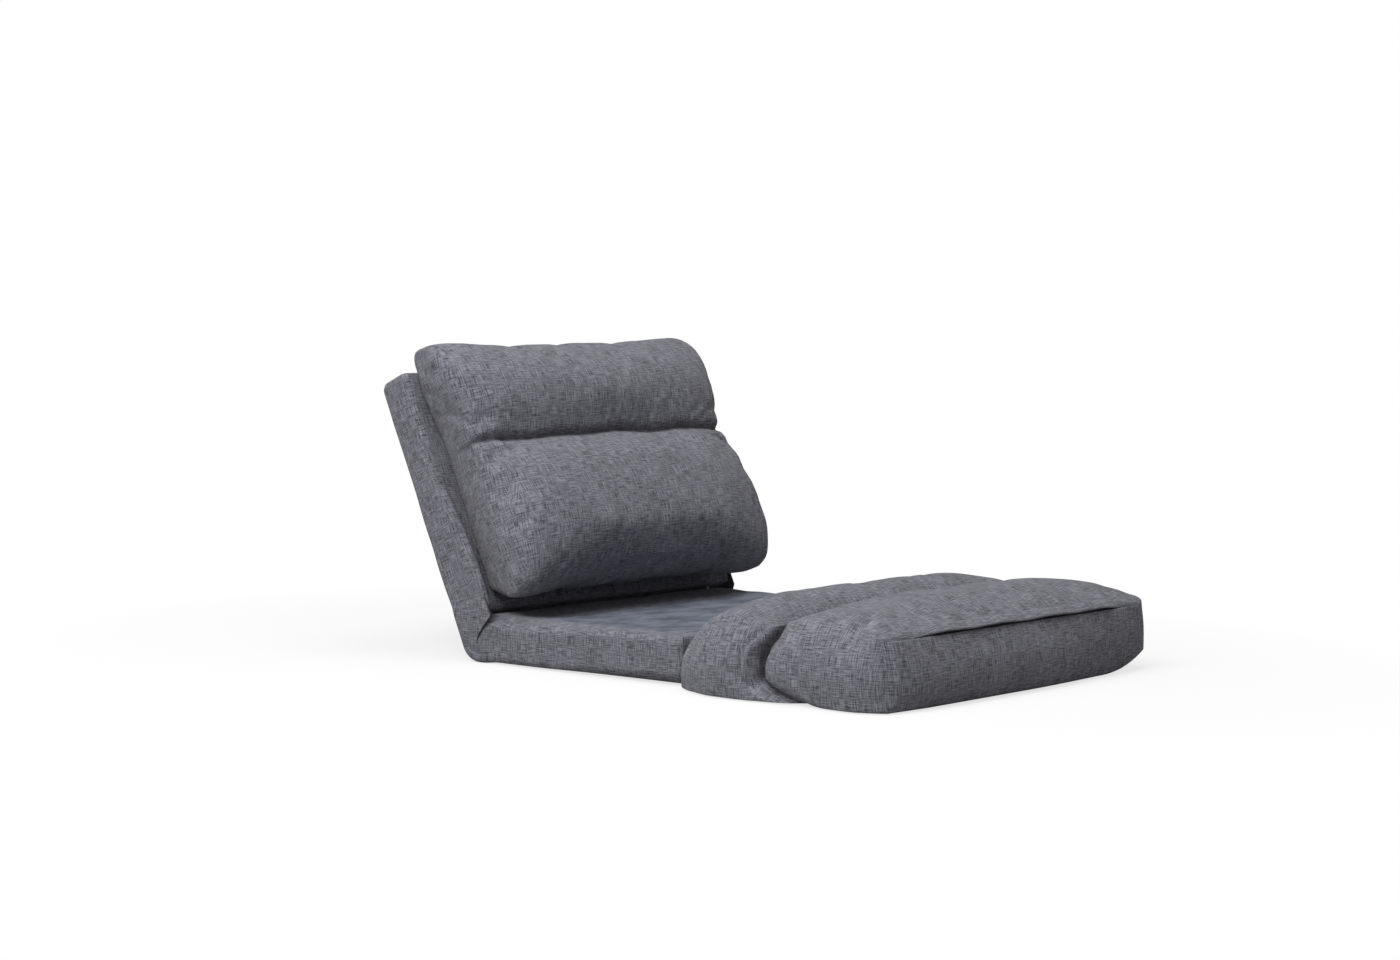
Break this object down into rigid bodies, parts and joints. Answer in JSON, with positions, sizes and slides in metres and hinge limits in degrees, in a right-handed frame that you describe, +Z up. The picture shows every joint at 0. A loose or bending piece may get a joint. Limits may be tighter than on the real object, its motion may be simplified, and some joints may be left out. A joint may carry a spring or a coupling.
{
  "type": "folding floor lounge chair",
  "caption": "Legless floor lounge chair: flat padded seat, reclining ratchet backrest with a channelled pillow, and a lobed leg cushion that folds over onto the seat.",
  "frame": {"origin": "on the floor, under the middle of the seat, halfway between the recline axis and the leg fold line", "axes": "+Z up; the chair faces -Y, so the backrest is on the +Y side; +X is the sitter's left"},
  "size_m": [0.78, 1.1993, 0.5746],
  "materials": {
    "cover_cloth": "matte",
    "lining_cloth": "matte",
    "base_cloth": "matte",
    "foam": "matte",
    "hook_loop": "matte",
    "zip_tape": "matte",
    "frame_paint": "satin",
    "hinge_steel": "satin",
    "spring_steel": "satin",
    "zip_plastic": "satin"
  },
  "bodies": {
    "seat": {"fold_strip": "cover_cloth", "hinge_bridge_left": "hinge_steel", "hinge_bridge_right": "hinge_steel", "hinge_pawl_pin_left": "hinge_steel", "hinge_pawl_pin_right": "hinge_steel", "hinge_pawl_spring_left": "spring_steel", "hinge_pawl_spring_right": "spring_steel", "hinge_pivot_left": "hinge_steel", "hinge_pivot_right": "hinge_steel", "hinge_plate_inner_left": "hinge_steel", "hinge_plate_inner_right": "hinge_steel", "hinge_plate_outer_left": "hinge_steel", "hinge_plate_outer_right": "hinge_steel", "seat_base_cloth": "base_cloth", "seat_cover": "cover_cloth", "seat_cross_bars": "frame_paint", "seat_foam_lower": "foam", "seat_foam_upper": "foam", "seat_frame": "frame_paint", "seat_lining": "lining_cloth", "seat_rivets": "hinge_steel"},
    "backrest": {"back_cover": "cover_cloth", "back_cross_bars": "frame_paint", "back_foam_front": "foam", "back_foam_rear": "foam", "back_frame": "frame_paint", "back_loop_strips": "hook_loop", "back_rivets": "hinge_steel", "hinge_arm_left": "hinge_steel", "hinge_arm_right": "hinge_steel"},
    "pillow": {"pillow_hook_strips": "hook_loop", "pillow_lobe_lower": "cover_cloth", "pillow_lobe_upper": "cover_cloth"},
    "leg_rest": {"leg_base_cloth": "base_cloth", "leg_front_panel": "cover_cloth", "leg_lobe_front": "cover_cloth", "leg_lobe_rear": "cover_cloth", "zip_coil": "zip_plastic", "zip_tape": "zip_tape"},
    "zip_slider": {"zip_slider": "zip_plastic"},
    "pawl_left": {"hinge_pawl_left": "hinge_steel"},
    "pawl_right": {"hinge_pawl_right": "hinge_steel"}
  },
  "joints": [
    {"name": "back_recline", "type": "hinge", "parent": "seat", "child": "backrest", "pos_m": [0, 0.248, 0.0425], "axis": [-1, 0, 0], "range_deg": [-24, 66]},
    {"name": "leg_fold", "type": "hinge", "parent": "seat", "child": "leg_rest", "pos_m": [0, -0.248, 0.1265], "axis": [-1, 0, 0], "range_deg": [0, 180]},
    {"name": "pillow_slide", "type": "slide", "parent": "backrest", "child": "pillow", "axis": [0, 0.4067, 0.9135], "range_m": [0, 0.18]},
    {"name": "pawl_left_turn", "type": "hinge", "parent": "seat", "child": "pawl_left", "pos_m": [0.3, 0.215, 0.065], "axis": [1, 0, 0], "range_deg": [0, 14]},
    {"name": "pawl_right_turn", "type": "hinge", "parent": "seat", "child": "pawl_right", "pos_m": [-0.3, 0.215, 0.065], "axis": [1, 0, 0], "range_deg": [0, 14]},
    {"name": "zip_pull", "type": "slide", "parent": "leg_rest", "child": "zip_slider", "axis": [-1, 0, 0], "range_m": [0, 0.56]}
  ],
  "couplings": [
    {"joint": "pillow_slide", "follows": "leg_fold", "m_per_rad": 0.057296},
    {"joint": "pawl_right_turn", "follows": "pawl_left_turn", "ratio": 1}
  ]
}
